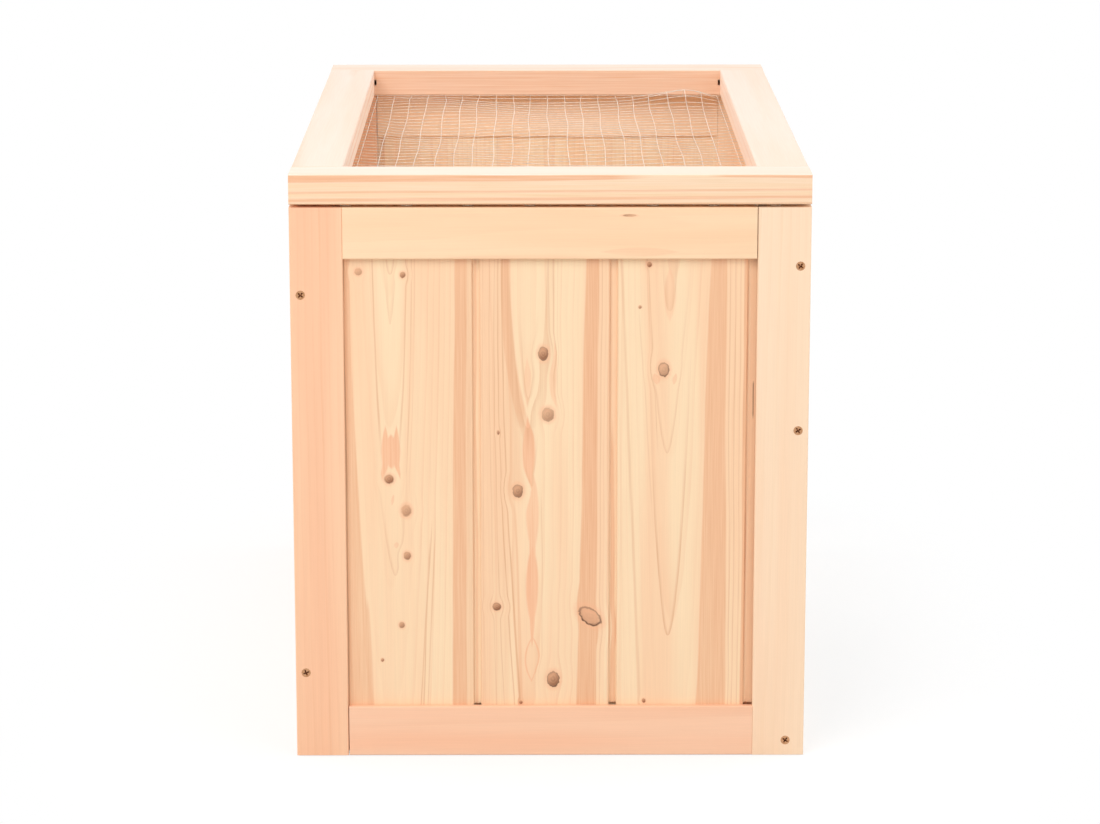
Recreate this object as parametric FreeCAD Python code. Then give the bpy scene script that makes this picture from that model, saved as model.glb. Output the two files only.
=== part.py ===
import FreeCAD, Part
import math
import os

Vec = FreeCAD.Vector

# Overall sizes in millimetres
cage_width = 500.0
body_height = 548.0
lid_thick = 29.0
lid_gap = 3.0

# Frame timber
stile_face = 51.0
rail_face = 50.0
frame_thick = 20.0
ease = 0.8
groove_deep = 9.0
groove_play = 0.2
tenon_back = 8.0
tenon_haunch = 8.0
shoulder_gap = 0.8

# Tongue-and-groove boards
end_boards = 3
back_boards = 5
strip_show = 7.0
last_strip = 8.7
strip_notch = 4.0
board_thick = 9.0
board_recess = 6.5
tongue_thick = 3.0
tongue_hidden = 6.0
board_play = 0.3

# Clear front
clear_thick = 3.0
window_height = 276.0
window_tenon = 8.0
sill_deep = 36.0
sill_high = 30.0
track_wide = 4.0
track_first = 6.0
track_second = 14.0
track_low = 6.0
track_high = 12.0
door_engage = 6.0
door_lap = 40.0
door_play = 0.2
pull_thick = 3.6
pull_wide = 12.0
pull_high = 70.0
pull_inset = 14.0

# Floor
cleat_size = 18.0
floor_thick = 9.0
floor_ledge = 8.0
floor_play = 0.5

# Lid frame
lid_face = 50.0
lid_ease = 1.0
lid_tenon_thick = 6.0
lid_tenon_long = 25.0
lid_tenon_inset = 7.0
mortise_over = 2.5
mortise_play = 0.2

# Wire mesh
wire_size = 0.8
wire_sides = 8
mesh_pitch = 19.6
mesh_front_set = 14.8
mesh_hinge_set = 34.0
mesh_end_set = 10.0
long_wire_end = 7.0
cross_wire_end = 3.5
gaps_per_staple = 6
wires_per_staple = 3
staple_wide = 10.0
staple_wire = 1.2
staple_thick = 0.8
staple_leg = 8.0

# Hinges
hinge_long = 60.0
hinge_inset = 130.0
hinge_screw_step = 20.0
leaf_thick = 1.2
leaf_wide = 18.6
leaf_set = 0.4
knuckle_radius = 2.6
knuckle_bore = 1.5
knuckle_out = 2.9
knuckle_play = 0.4
pin_radius = 1.2
pin_head_radius = 2.2
pin_head_thick = 1.0

# Screws: shank diameter, head diameter, length
frame_screw = (4.5, 9.2, 50.0)
hinge_screw = (3.0, 5.6, 15.0)
screw_play = 0.1
screw_sides = 12
back_screw_inset = 85.0
window_screw_inset = 57.0

# How far a cutting block runs past the timber, and how near two places count as one
cut_over = 1.0
tolerance = 0.001

# Sizes that follow from those above
board_pitch = (cage_width - 2 * stile_face) / end_boards
board_face = board_pitch - strip_show
wall_length = 2 * stile_face + back_boards * board_pitch
cage_length = wall_length + 2 * frame_thick
half_width = cage_width / 2
half_length = cage_length / 2
half_wall = wall_length / 2
lid_bottom = body_height + lid_gap
lid_top = lid_bottom + lid_thick
window_bottom = body_height - window_height
board_front = board_recess
board_back = board_recess + board_thick
tongue_front = board_recess + (board_thick - tongue_thick) / 2
tongue_back = tongue_front + tongue_thick
axis_x = -half_width - knuckle_out
axis_z = body_height + lid_gap / 2

# Directions that a wall faces, as a turn about the upright axis
NEAR = 0
FRONT = 90
FAR = 180
BACK = -90

os.makedirs("parts", exist_ok=True)


def box(x0, x1, y0, y1, z0, z1):
    """Block between two corners."""
    return Part.makeBox(x1 - x0, y1 - y0, z1 - z0, Vec(x0, y0, z0))


def prism(points, start, run):
    """Solid swept from a closed outline of 3-D points along a vector."""
    shift = [Vec(*p) + start for p in points]
    return Part.Face(Part.makePolygon(shift + [shift[0]])).extrude(run)


def upright(section, low, high):
    """Prism that stands up, from an outline in X and Y."""
    return prism([(x, y, 0) for x, y in section], Vec(0, 0, low), Vec(0, 0, high - low))


def along_x(section, low, high):
    """Prism that runs along X, from an outline in Y and Z."""
    return prism([(0, y, z) for y, z in section], Vec(low, 0, 0), Vec(high - low, 0, 0))


def along_y(section, low, high):
    """Prism that runs along Y, from an outline in X and Z."""
    return prism([(x, 0, z) for x, z in section], Vec(0, low, 0), Vec(0, high - low, 0))


def eased(a0, a1, b0, b1, cut):
    """Rectangle with its four corners taken off."""
    return [(a0 + cut, b0), (a1 - cut, b0), (a1, b0 + cut), (a1, b1 - cut),
            (a1 - cut, b1), (a0 + cut, b1), (a0, b1 - cut), (a0, b0 + cut)]


def grooved(a0, a1, b0, b1, cut, g0, g1, deep):
    """Eased rectangle with a groove in its high side."""
    return [(a0 + cut, b0), (a1 - cut, b0), (a1, b0 + cut),
            (a1, g0), (a1 - deep, g0), (a1 - deep, g1), (a1, g1),
            (a1, b1 - cut), (a1 - cut, b1), (a0 + cut, b1), (a0, b1 - cut), (a0, b0 + cut)]


def mirrored(section, centre):
    """Outline with its first coordinate turned over about a centre."""
    return [(2 * centre - a, b) for a, b in section][::-1]


def swapped(section):
    """Outline with its two coordinates exchanged."""
    return [(b, a) for a, b in section]


def turned(shape, facing):
    """Copy of a shape turned to the side that its wall faces."""
    copy = shape.copy()
    copy.rotate(Vec(0, 0, 0), Vec(0, 0, 1), facing)
    return copy


def faceted(outline):
    """Solid of flat sides about the upright axis, from radius and height pairs, top first."""
    step = 2 * math.pi / screw_sides
    rings = []
    for radius, height in outline:
        rings.append([Vec(radius * math.cos(i * step), radius * math.sin(i * step), height)
                      for i in range(screw_sides)])
    faces = []
    for upper, lower in zip(rings, rings[1:]):
        for i in range(screw_sides):
            corners = [upper[i - 1], upper[i], lower[i], lower[i - 1]]
            if lower[i].isEqual(lower[i - 1], tolerance):
                corners.pop()
            faces.append(Part.Face(Part.makePolygon(corners + corners[:1])))
    caps = [rings[0]]
    if outline[-1][0] > 0:
        caps.append(rings[-1])
    for ring in caps:
        faces.append(Part.Face(Part.makePolygon(ring + ring[:1])))
    return Part.Solid(Part.makeShell(faces))


def screw(size):
    """Countersunk screw with its head up at the origin and a pointed tip."""
    shank = size[0] / 2
    head = size[1] / 2
    return faceted([(head, 0), (shank, shank - head), (shank, size[0] - size[2]), (0, -size[2])])


def screw_hole(size):
    """Countersunk hole for that screw, a little larger all round."""
    shank = size[0] / 2 + screw_play
    head = size[1] / 2 + screw_play
    return faceted([(head, 0), (shank, shank - head), (shank, -size[2] - screw_play)])


def aimed(shape, point, direction):
    """Copy of a screw with its head at a point, driven along a direction."""
    copy = shape.copy()
    turn = FreeCAD.Rotation(Vec(0, 0, -1), direction)
    copy.Placement = FreeCAD.Placement(point, turn)
    return copy


def drilled(shape, size, places):
    """Shape with the holes of the screws that pass through it."""
    for point, direction in places:
        shape = shape.cut(aimed(screw_hole(size), point, direction))
    return shape


def save(name, shape):
    """Write one node."""
    shape.exportStep("parts/" + name + ".step")


def save_group(name, shapes):
    """Write a node of separate solids."""
    save(name, Part.makeCompound(shapes))


def stile(side, span, reach, low, high, groove):
    """Upright of a wall frame; side is -1 on the left seen from outside."""
    face = -reach
    section = grooved(-span / 2, -span / 2 + stile_face, face, face + frame_thick, ease,
                      face + groove[0], face + groove[1], groove_deep)
    if side > 0:
        section = mirrored(section, 0)
    return upright(section, low, high)


def rail(span, reach, low, high, groove, tenon, groove_up, haunch=tenon_haunch, loose=0):
    """Cross rail of a wall frame with a stub tenon at each end; a loose end has an open shoulder."""
    face = -reach
    inner = span / 2 - stile_face
    section = grooved(low, high, face, face + frame_thick, ease,
                      face + groove[0], face + groove[1], groove_deep)
    tenon_low = low + haunch
    tenon_high = high - groove_deep
    if not groove_up:
        section = mirrored(section, (low + high) / 2)
        tenon_low = low + groove_deep
        tenon_high = high - haunch
    shoulders = {end: end * (inner - shoulder_gap * (end == loose)) for end in (-1, 1)}
    body = along_x(swapped(section), shoulders[-1], shoulders[1])
    for end in (-1, 1):
        ends = sorted((shoulders[end], end * (inner + tenon_back)))
        body = body.fuse(box(ends[0], ends[1], face + tenon[0], face + tenon[1],
                             tenon_low, tenon_high))
    return body.removeSplitter()


def board(index, count, opening, reach, low, high):
    """Upright board: slot on its left edge, shown tongue on its right edge."""
    first = opening - last_strip - (count - 1) * board_pitch
    right = -opening / 2 + first + index * board_pitch
    left = right - board_face
    front = -reach + board_front
    back = -reach + board_back
    slot_front = -reach + tongue_front - groove_play / 2
    slot_back = -reach + tongue_back + groove_play / 2
    tip = right + strip_show + tongue_hidden - board_play
    if index == count - 1:
        tip = right + last_strip + tongue_hidden
    tongue = [(right - ease, front), (right, front + ease), (right, -reach + tongue_front),
              (tip, -reach + tongue_front), (tip, -reach + tongue_back),
              (right, -reach + tongue_back), (right, back)]
    notch = box(right, tip + cut_over, -reach, -reach + frame_thick,
                low - cut_over, rail_face + strip_notch)
    if index == 0:
        edge = -opening / 2 - groove_deep + board_play
        return upright([(edge, front)] + tongue + [(edge, back)], low, high).cut(notch)
    lip = left - strip_show + board_play
    slot = left + tongue_hidden
    section = [(left + ease, front)] + tongue + [
        (lip, back), (lip, slot_back), (slot, slot_back), (slot, slot_front),
        (left, slot_front), (left, front + ease)]
    return upright(section, low, high).cut(notch)


def boarded_wall(span, reach, count):
    """Stiles, rails and boards of one framed wall, as it stands facing near."""
    groove = (board_front - groove_play, board_back + groove_play)
    tenon = (board_front, board_back)
    opening = span - 2 * stile_face
    low = rail_face - groove_deep + board_play
    high = body_height - rail_face + groove_deep - board_play
    return {
        "stile_left": stile(-1, span, reach, 0, body_height, groove),
        "stile_right": stile(1, span, reach, 0, body_height, groove),
        "rail_bottom": rail(span, reach, 0, rail_face, groove, tenon, True, loose=-1),
        "rail_top": rail(span, reach, body_height - rail_face, body_height, groove, tenon, False,
                         loose=1),
        "boards": [board(i, count, opening, reach, low, high) for i in range(count)],
    }


# Places of the screws that hold the long walls between the end panels
wall_axis = half_width - frame_thick / 2
sill_axis = half_width - sill_deep / 2
end_points = [
    (-wall_axis, back_screw_inset),
    (-wall_axis, body_height - back_screw_inset),
    (wall_axis, window_bottom + window_screw_inset),
    (wall_axis, body_height - window_screw_inset),
    (sill_axis, sill_high / 2),
]
near_places = [(Vec(x, -half_length, z), Vec(0, 1, 0)) for x, z in end_points]
far_places = [(Vec(x, half_length, z), Vec(0, -1, 0)) for x, z in end_points]
end_places = near_places + far_places

# Places of the hinge screws on the wall and on the lid
hinge_ys = (hinge_inset - half_wall, half_wall - hinge_inset)
leaf_x = -half_width + leaf_set + leaf_wide / 2
wall_hinge_places = []
lid_hinge_places = []
for hinge_y in hinge_ys:
    for step in (-hinge_screw_step, hinge_screw_step):
        wall_top = Vec(leaf_x, hinge_y + step, body_height + leaf_thick)
        lid_under = Vec(leaf_x, hinge_y + step, lid_bottom - leaf_thick)
        wall_hinge_places.append((wall_top, Vec(0, 0, -1)))
        lid_hinge_places.append((lid_under, Vec(0, 0, 1)))


def end_panel(name, facing, back_side, front_side):
    """Write the seven pieces of one end panel."""
    pieces = boarded_wall(cage_width, half_length, end_boards)
    for key, label in ((back_side, "_stile_back"), (front_side, "_stile_front")):
        post = turned(pieces[key], facing)
        save(name + label, drilled(post, frame_screw, end_places))
    for key in ("rail_bottom", "rail_top"):
        save(name + "_" + key, turned(pieces[key], facing))
    for number, piece in enumerate(pieces["boards"], 1):
        save(name + "_board_" + str(number), turned(piece, facing))


end_panel("near", NEAR, "stile_left", "stile_right")
end_panel("far", FAR, "stile_right", "stile_left")

# Boarded long wall that carries the lid
wall = boarded_wall(wall_length, half_width, back_boards)
for key, label in (("stile_right", "back_stile_near"), ("stile_left", "back_stile_far")):
    save(label, drilled(turned(wall[key], BACK), frame_screw, end_places))
save("back_rail_bottom", turned(wall["rail_bottom"], BACK))
save("back_rail_top", drilled(turned(wall["rail_top"], BACK), hinge_screw, wall_hinge_places))
for number, piece in enumerate(wall["boards"], 1):
    save("back_board_" + str(number), turned(piece, BACK))

# Clear upper half of the front: frame, tracks and pane
pane_mid = frame_thick / 2
pane_groove = (pane_mid - clear_thick / 2 - groove_play, pane_mid + clear_thick / 2 + groove_play)
pane_tenon = (pane_mid - window_tenon / 2, pane_mid + window_tenon / 2)
window_inner = half_wall - stile_face
tracks = []
for mid in (track_first, track_second):
    y0 = -half_width + mid - track_wide / 2
    tracks.append(box(-half_wall - cut_over, half_wall + cut_over, y0, y0 + track_wide,
                      window_bottom - cut_over, window_bottom + track_high))
track_tool = Part.makeCompound(tracks)
track_haunch = track_high + tenon_haunch
track_rail = rail(wall_length, half_width, window_bottom, window_bottom + rail_face,
                  pane_groove, pane_tenon, True, track_haunch)
track_rail = track_rail.cut(track_tool)
head_rail = rail(wall_length, half_width, body_height - rail_face, body_height,
                 pane_groove, pane_tenon, False)


def window_stile(side):
    """Upright of the window frame with mortises for both rails."""
    post = stile(side, wall_length, half_width, window_bottom, body_height, pane_groove)
    ends = sorted((side * window_inner, side * (window_inner + groove_deep)))
    y0 = -half_width + pane_tenon[0] - groove_play
    y1 = -half_width + pane_tenon[1] + groove_play
    low_pair = (window_bottom + track_haunch - groove_play, window_bottom + rail_face - groove_deep)
    high_pair = (body_height - rail_face + groove_deep, body_height - tenon_haunch + groove_play)
    for z0, z1 in (low_pair, high_pair):
        post = post.cut(box(ends[0], ends[1], y0, y1, z0, z1))
    return turned(post.cut(track_tool), FRONT)


save("window_stile_near", drilled(window_stile(-1), frame_screw, end_places))
save("window_stile_far", drilled(window_stile(1), frame_screw, end_places))
save("window_rail_top", turned(head_rail, FRONT))
save("window_rail_track", turned(track_rail, FRONT))
pane_edge = window_inner + groove_deep - board_play
pane = box(-pane_edge, pane_edge, -half_width + pane_mid - clear_thick / 2,
           -half_width + pane_mid + clear_thick / 2,
           window_bottom + rail_face - groove_deep + board_play,
           body_height - rail_face + groove_deep - board_play)
save("window_pane", turned(pane, FRONT))

# Sill with two tracks and a ledge for the floor
sill_section = eased(-half_width, -half_width + sill_deep, 0, sill_high, ease)
sill = along_x(sill_section, -half_wall, half_wall)
for mid in (track_first, track_second):
    y0 = -half_width + mid - track_wide / 2
    sill = sill.cut(box(-half_wall, half_wall, y0, y0 + track_wide,
                        sill_high - track_low, sill_high))
ledge_y = -half_width + sill_deep - floor_ledge
sill = sill.cut(box(-half_wall, half_wall, ledge_y, ledge_y + floor_ledge, cleat_size, sill_high))
save("front_sill", drilled(turned(sill, FRONT), frame_screw, end_places))

# Clear sliding doors with their pulls
door_low = sill_high - track_low + door_play
door_high = window_bottom + door_engage
door_long = half_wall + door_lap / 2
pull_low = (sill_high + window_bottom - pull_high) / 2
for name, side, mid in (("near", -1, track_first), ("far", 1, track_second)):
    outer = side * (half_wall - floor_play)
    inner = -side * door_lap / 2
    ends = sorted((outer, inner))
    face = -half_width + mid - clear_thick / 2
    door = box(ends[0], ends[1], face, face + clear_thick, door_low, door_high)
    pulls = sorted((outer - side * pull_inset, outer - side * (pull_inset + pull_wide)))
    pull = box(pulls[0], pulls[1], face - pull_thick, face, pull_low, pull_low + pull_high)
    pull_edges = [e for e in pull.Edges if abs(e.BoundBox.YMax - face + pull_thick) < tolerance]
    pull = pull.makeChamfer(ease, pull_edges)
    save("door_" + name + "_pane", turned(door, FRONT))
    save("door_" + name + "_pull", turned(pull, FRONT))

# Floor panel on its glued cleats
ledge_x = half_width - sill_deep + floor_ledge
cleat_inner = half_width - frame_thick - cleat_size
floor = box(-half_width + frame_thick + floor_play, ledge_x - floor_play,
            -half_wall + floor_play, half_wall - floor_play, cleat_size, cleat_size + floor_thick)
save("floor_panel", floor)
cleat_section = eased(-half_wall, -half_wall + cleat_size, 0, cleat_size, ease)
save("floor_cleat_near", along_x(cleat_section, -cleat_inner, half_width - sill_deep))
save("floor_cleat_far", along_x(mirrored(cleat_section, 0), -cleat_inner, half_width - sill_deep))
back_section = eased(-half_width + frame_thick, -cleat_inner, 0, cleat_size, ease)
save("floor_cleat_back", along_y(back_section, -half_wall, half_wall))

# Screws of the end panels
save_group("near_end_screws", [aimed(screw(frame_screw), p, d) for p, d in near_places])
save_group("far_end_screws", [aimed(screw(frame_screw), p, d) for p, d in far_places])

# Places of the wires, and of the staples that each straddle one lengthwise wire
long_gaps = int((cage_width - mesh_front_set - mesh_hinge_set) // mesh_pitch)
cross_gaps = int((cage_length - 2 * mesh_end_set) // mesh_pitch)
long_xs = [half_width - mesh_front_set - i * mesh_pitch for i in range(long_gaps + 1)]
cross_ys = [(i - cross_gaps / 2) * mesh_pitch for i in range(cross_gaps + 1)]
staple_places = []
for index in range(1, cross_gaps, gaps_per_staple):
    for x in (long_xs[0], long_xs[-1]):
        staple_places.append((x, cross_ys[index] + mesh_pitch / 2))
for x in long_xs[1::wires_per_staple]:
    for y in (cross_ys[0] - long_wire_end / 2, cross_ys[-1] + long_wire_end / 2):
        staple_places.append((x, y))
wire_under = lid_bottom - 2 * wire_size


def staple(x, y):
    """Staple with its crown under a wire and its legs up in the rail."""
    half = staple_wide / 2
    top = lid_bottom + staple_leg
    outline = [(x - half, wire_under - staple_thick), (x + half, wire_under - staple_thick),
               (x + half, top), (x + half - staple_thick, top),
               (x + half - staple_thick, wire_under), (x - half + staple_thick, wire_under),
               (x - half + staple_thick, top), (x - half, top)]
    return along_y(outline, y - staple_wire / 2, y + staple_wire / 2)


staples = Part.makeCompound([staple(x, y) for x, y in staple_places])
save("mesh_staples", staples)

# Lid frame: end rails run full width and take the tenons of the side rails
mortise_mid = (lid_bottom + lid_top) / 2
mortise_low = mortise_mid - lid_tenon_thick / 2
mortise_high = mortise_mid + lid_tenon_thick / 2
lid_inner_x = half_width - lid_face
lid_inner_y = half_length - lid_face
end_section = eased(-half_length, -lid_inner_y, lid_bottom, lid_top, lid_ease)
end_rail = along_x(end_section, -half_width, half_width)
side_section = eased(-half_width, -lid_inner_x, lid_bottom, lid_top, lid_ease)
side_rail = along_y(side_section, -lid_inner_y, lid_inner_y)
tenon_outer = half_width - lid_tenon_inset
tenon_inner = lid_inner_x + lid_tenon_inset
for side in (-1, 1):
    slot = sorted((side * (tenon_outer + mortise_play), side * (lid_inner_x - mortise_over)))
    end_rail = end_rail.cut(box(slot[0], slot[1], -lid_inner_y - lid_tenon_long - mortise_play,
                                -lid_inner_y, mortise_low - mortise_play,
                                mortise_high + mortise_play))
    ends = sorted((side * lid_inner_y, side * (lid_inner_y + lid_tenon_long)))
    side_rail = side_rail.fuse(box(-tenon_outer, -tenon_inner, ends[0], ends[1],
                                   mortise_low, mortise_high))
side_rail = side_rail.removeSplitter()
save("lid_rail_near", end_rail.cut(staples))
save("lid_rail_far", turned(end_rail, FAR).cut(staples))
save("lid_rail_front", turned(side_rail, FAR).cut(staples))
save("lid_rail_back", drilled(side_rail.cut(staples), hinge_screw, lid_hinge_places))


def wire_section(a, b):
    """Many-sided section of one wire about its centre, flat where wires cross."""
    half_turn = math.pi / wire_sides
    radius = wire_size / 2 / math.cos(half_turn)
    turns = [half_turn * (2 * i + 1) for i in range(wire_sides)]
    return [(a + radius * math.cos(t), b + radius * math.sin(t)) for t in turns]


# Wire mesh: cross wires lie against the lid, lengthwise wires under them
cross_z = lid_bottom - wire_size / 2
long_z = cross_z - wire_size
long_reach = cross_ys[-1] + long_wire_end
cross_low = long_xs[-1] - cross_wire_end
cross_high = long_xs[0] + cross_wire_end
save_group("mesh_long_wires",
           [along_y(wire_section(x, long_z), -long_reach, long_reach) for x in long_xs])
save_group("mesh_cross_wires",
           [along_x(wire_section(y, cross_z), cross_low, cross_high) for y in cross_ys])

# Butt hinges: two wall knuckles, one lid knuckle and a pin with peened ends
knuckle_long = hinge_long / 3


def tube(radius, y0, y1):
    """Round bar on the hinge axis."""
    return Part.makeCylinder(radius, y1 - y0, Vec(axis_x, y0, axis_z), Vec(0, 1, 0))


def leaf(y, z0, z1, spans):
    """Hinge leaf with knuckles over the given spans of its length."""
    plate = box(-half_width + leaf_set, -half_width + leaf_set + leaf_wide,
                y - hinge_long / 2, y + hinge_long / 2, z0, z1)
    for y0, y1 in spans:
        tab = box(axis_x, -half_width + leaf_set, y0, y1, z0, z1)
        plate = plate.fuse([tab, tube(knuckle_radius, y0, y1)])
    bore = tube(knuckle_bore, y - hinge_long, y + hinge_long)
    return plate.cut(bore).removeSplitter()


for name, y in zip(("near", "far"), hinge_ys):
    low = y - hinge_long / 2
    high = y + hinge_long / 2
    wall_spans = [(low, low + knuckle_long - knuckle_play), (high - knuckle_long + knuckle_play, high)]
    lid_spans = [(low + knuckle_long, high - knuckle_long)]
    wall_leaf = leaf(y, body_height, body_height + leaf_thick, wall_spans)
    lid_leaf = leaf(y, lid_bottom - leaf_thick, lid_bottom, lid_spans)
    save("hinge_" + name + "_wall_leaf", drilled(wall_leaf, hinge_screw, wall_hinge_places))
    save("hinge_" + name + "_lid_leaf", drilled(lid_leaf, hinge_screw, lid_hinge_places))
    pin = tube(pin_radius, low - pin_head_thick, high + pin_head_thick)
    heads = [tube(pin_head_radius, low - pin_head_thick, low),
             tube(pin_head_radius, high, high + pin_head_thick)]
    save("hinge_" + name + "_pin", pin.fuse(heads).removeSplitter())

save_group("hinge_wall_screws", [aimed(screw(hinge_screw), p, d) for p, d in wall_hinge_places])
save_group("hinge_lid_screws", [aimed(screw(hinge_screw), p, d) for p, d in lid_hinge_places])
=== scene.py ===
"""Looks of a wooden hamster cage: fir frames and boards, a wire lid, clear doors and a studio."""

import logging
import math
import random
from dataclasses import dataclass, field, replace
from enum import Enum
from functools import reduce

import bmesh
import bpy
from mathutils import Euler, Matrix, Vector


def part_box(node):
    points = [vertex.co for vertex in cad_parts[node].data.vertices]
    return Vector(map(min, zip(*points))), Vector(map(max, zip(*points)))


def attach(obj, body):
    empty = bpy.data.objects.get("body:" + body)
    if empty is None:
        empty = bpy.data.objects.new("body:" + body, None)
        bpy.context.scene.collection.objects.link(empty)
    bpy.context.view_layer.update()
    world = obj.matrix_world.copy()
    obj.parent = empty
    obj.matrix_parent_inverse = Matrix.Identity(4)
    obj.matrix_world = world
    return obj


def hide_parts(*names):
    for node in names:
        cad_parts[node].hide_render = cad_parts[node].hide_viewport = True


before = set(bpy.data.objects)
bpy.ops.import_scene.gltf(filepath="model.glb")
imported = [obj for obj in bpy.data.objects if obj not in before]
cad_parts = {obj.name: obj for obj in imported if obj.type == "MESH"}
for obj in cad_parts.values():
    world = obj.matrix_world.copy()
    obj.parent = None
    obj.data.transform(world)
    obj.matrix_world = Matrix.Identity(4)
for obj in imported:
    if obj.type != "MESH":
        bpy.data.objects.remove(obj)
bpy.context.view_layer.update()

LOG = logging.getLogger("hamster_cage")
MM = 0.001
WHITE = (1.0, 1.0, 1.0, 1.0)

Socket = bpy.types.NodeSocket
Material = bpy.types.Material
Piece = bpy.types.Object
Shape = bmesh.types.BMesh
Pair = tuple[float, float]
Point = tuple[float, float, float]
Feed = Socket | float | tuple[float, ...]
Key = int | str
Places = list[tuple[Vector, Vector]]


def linear(hex_colour: str) -> tuple[float, float, float, float]:
    """Turns an sRGB hex colour into the linear values that shaders take.

    Args:
        hex_colour: Six hex digits after a hash sign.

    Returns:
        Linear red, green and blue, and an alpha of one.
    """
    parts = [int(hex_colour[i : i + 2], 16) / 255 for i in (1, 3, 5)]
    red, green, blue = (c / 12.92 if c <= 0.04045 else ((c + 0.055) / 1.055) ** 2.4 for c in parts)
    return red, green, blue, 1.0


class Ease(Enum):
    """How a ramp that isn't straight runs between its ends."""

    SOFT = "SMOOTHSTEP"
    SOFTER = "SMOOTHERSTEP"


@dataclass
class Graph:
    """A node tree in the making."""

    tree: bpy.types.NodeTree

    def put(self, kind: str, feeds: dict[Key, Feed], out: Key = 0, **settings: object) -> Socket:
        """Adds one node, sets it up and feeds its inputs.

        Args:
            kind: The node's type without its leading ShaderNode.
            feeds: What goes into each input, by place or name: a socket to link or a value to set.
            out: The output to hand back, by place or name.
            **settings: Properties of the node itself.

        Returns:
            The chosen output socket.
        """
        node = self.tree.nodes.new("ShaderNode" + kind)
        for name, value in settings.items():
            setattr(node, name, value)
        for key, feed in feeds.items():
            if isinstance(feed, Socket):
                self.tree.links.new(feed, node.inputs[key])
            else:
                node.inputs[key].default_value = feed
        return node.outputs[out] if len(node.outputs) else node.inputs[0]

    def ramp(self, value: Feed, span: Pair, ends: Pair = (0.0, 1.0), **settings: object) -> Socket:
        """Runs from one end to the other while a value crosses a span."""
        return self.put("MapRange", dict(enumerate((value, *span, *ends))), **settings)

    def calc(self, operation: str, *values: Feed, clamp: bool = False) -> Socket:
        """Works out one sum of numbers."""
        return self.put("Math", dict(enumerate(values)), operation=operation, use_clamp=clamp)

    def fade(self, value: Feed, span: Pair, ends: Pair = (1.0, 0.0)) -> Socket:
        """Runs softly from one end to the other while a value crosses a span."""
        return self.ramp(value, span, ends, interpolation_type=Ease.SOFT.value)

    def times(self, *factors: Feed) -> Socket:
        """Multiplies numbers in their order."""
        return reduce(lambda product, factor: self.calc("MULTIPLY", product, factor), factors)

    def vector(self, operation: str, *values: Feed, out: Key = 0) -> Socket:
        """Works out one sum of vectors."""
        return self.put("VectorMath", dict(enumerate(values)), out, operation=operation)

    def mix(self, share: Feed, under: Feed, over: Feed, **settings: object) -> Socket:
        """Lays one colour over another."""
        return self.put("Mix", {0: share, 6: under, 7: over}, 2, data_type="RGBA", **settings)

    def split(self, place: Feed) -> list[Socket]:
        """Takes a vector apart."""
        return list(self.put("SeparateXYZ", {0: place}).node.outputs)

    def place(self) -> Socket:
        """Gives the object's own coordinates, in metres."""
        return self.put("TexCoord", {}, "Object")

    def surface(self, shader: Socket) -> None:
        """Makes a shader the material's surface."""
        self.put("OutputMaterial", {"Surface": shader})


def blank(name: str) -> tuple[Material, Graph]:
    """Makes a material with an empty node tree.

    Args:
        name: The material's name.

    Returns:
        The material, and its node tree to build on.
    """
    made = bpy.data.materials.new(name)
    made.use_nodes = True
    made.node_tree.nodes.clear()
    return made, Graph(made.node_tree)


def wear(node: str, material: Material) -> None:
    """Puts one material on every face of a CAD node.

    Args:
        node: The node's name.
        material: What it wears.
    """
    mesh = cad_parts[node].data
    mesh.materials.clear()
    mesh.materials.append(material)
    LOG.info("dressed %s", node)


def to_metres(shape: Shape) -> None:
    """Brings a shape from millimetres to metres."""
    for vert in shape.verts:
        vert.co *= MM


def new_verts(grown: dict[str, list]) -> list[bmesh.types.BMVert]:
    """Picks the vertices out of what an extrusion made."""
    return [item for item in grown["geom"] if isinstance(item, bmesh.types.BMVert)]


def piece_from(shape: Shape, name: str, material: Material) -> Piece:
    """Turns a finished bmesh into an object at the origin.

    Args:
        shape: The bmesh, in metres in the cage's own frame. It is freed here.
        name: The object's name.
        material: The one material that it wears.

    Returns:
        The linked object.
    """
    mesh = bpy.data.meshes.new(name)
    shape.to_mesh(mesh)
    shape.free()
    mesh.materials.append(material)
    made = bpy.data.objects.new(name, mesh)
    bpy.context.scene.collection.objects.link(made)
    return made


class Tint(Enum):
    """The pale early wood, the darker late wood and the warm blush of one stick of fir."""

    CREAM = ("#FBE0BE", "#F0C398", "#FAD3AC")
    HONEY = ("#FADCB5", "#EBB187", "#F9CEA7")
    BLUSH = ("#FBCBA5", "#EBAA7F", "#F8C09A")
    ROSE = ("#FACBAA", "#EEB48E", "#F9C09C")
    PALE = ("#FCDDBD", "#F5CFA6", "#FBD6B4")
    PEACH = ("#FBD8B1", "#F2C095", "#FACFA6")
    LID = ("#FDE7D7", "#EBAA76", "#FCE0CB")
    STRAW = ("#FDE7D7", "#F0BE70", "#FCE0CB")


@dataclass(frozen=True)
class Knot:
    """A branch that the saw cut through, placed in the cage's own millimetres.

    A loose knot keeps its dark bark ring, and its heart is hardly darker than the wood round it. A
    tight knot has little bark and a soft edge.
    """

    across: float
    along: float
    wide: float
    high: float
    heart: float = 0.75
    bark: float = 0.3
    turn: float = 0.0
    bend: float = 0.62
    ragged: float = 0.45


@dataclass(frozen=True)
class Streak:
    """Late wood that runs with the grain, between two edges that may lean or bow."""

    top: Pair
    foot: Pair
    depth: float
    span: Pair | None = None
    bow: float = 1.0
    soft: float = 1.0


@dataclass(frozen=True)
class Line(Streak):
    """A streak so narrow that only a crisp line shows."""

    soft: float = 0.5


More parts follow.
